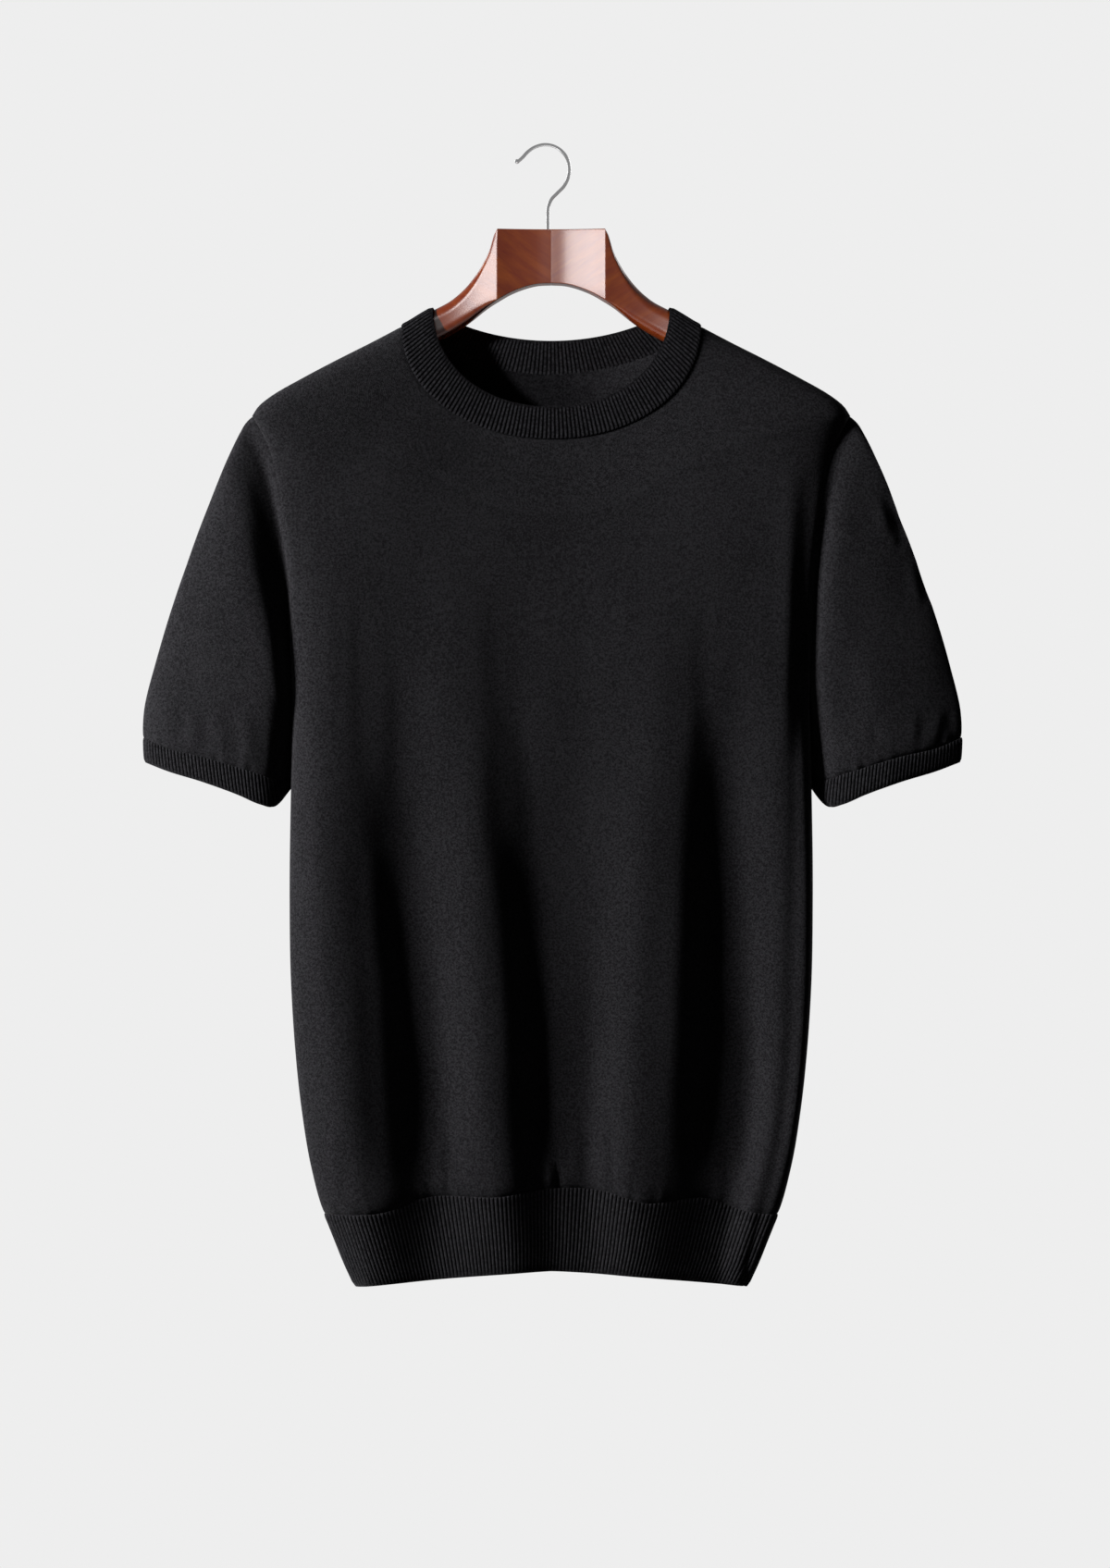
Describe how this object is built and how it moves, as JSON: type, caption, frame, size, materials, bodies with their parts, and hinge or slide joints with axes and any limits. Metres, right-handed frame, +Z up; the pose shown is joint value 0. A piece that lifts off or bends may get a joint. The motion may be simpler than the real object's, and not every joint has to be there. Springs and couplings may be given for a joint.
{
  "type": "crew neck t-shirt on a hanger",
  "caption": "Short-sleeved knitted crew neck top with ribbed collar, cuffs and hem, hanging open and hollow on a shaped wooden hanger with a steel hook.",
  "frame": {"origin": "top of the hook's inside, where a rail bears", "axes": "+Z up, the garment's front towards -Y, its wearer's left towards +X"},
  "size_m": [0.5853, 0.0557, 0.8187],
  "materials": {
    "knit": "matt fine-gauge black knit with a soft, slightly heathered surface",
    "rib_knit": "matt black ribbed knit",
    "wood": "red-brown stain under a gloss varnish",
    "steel": "bright plated wire"
  },
  "bodies": {
    "root": {"front": "knit", "back": "knit", "sleeve_left": "knit", "sleeve_right": "knit", "neck_rib": "rib_knit", "cuff_rib_left": "rib_knit", "cuff_rib_right": "rib_knit", "hem_rib_front": "rib_knit", "hem_rib_back": "rib_knit", "hanger_arm_left": "wood", "hanger_arm_right": "wood", "hanger_hook": "steel"}
  },
  "joints": []
}
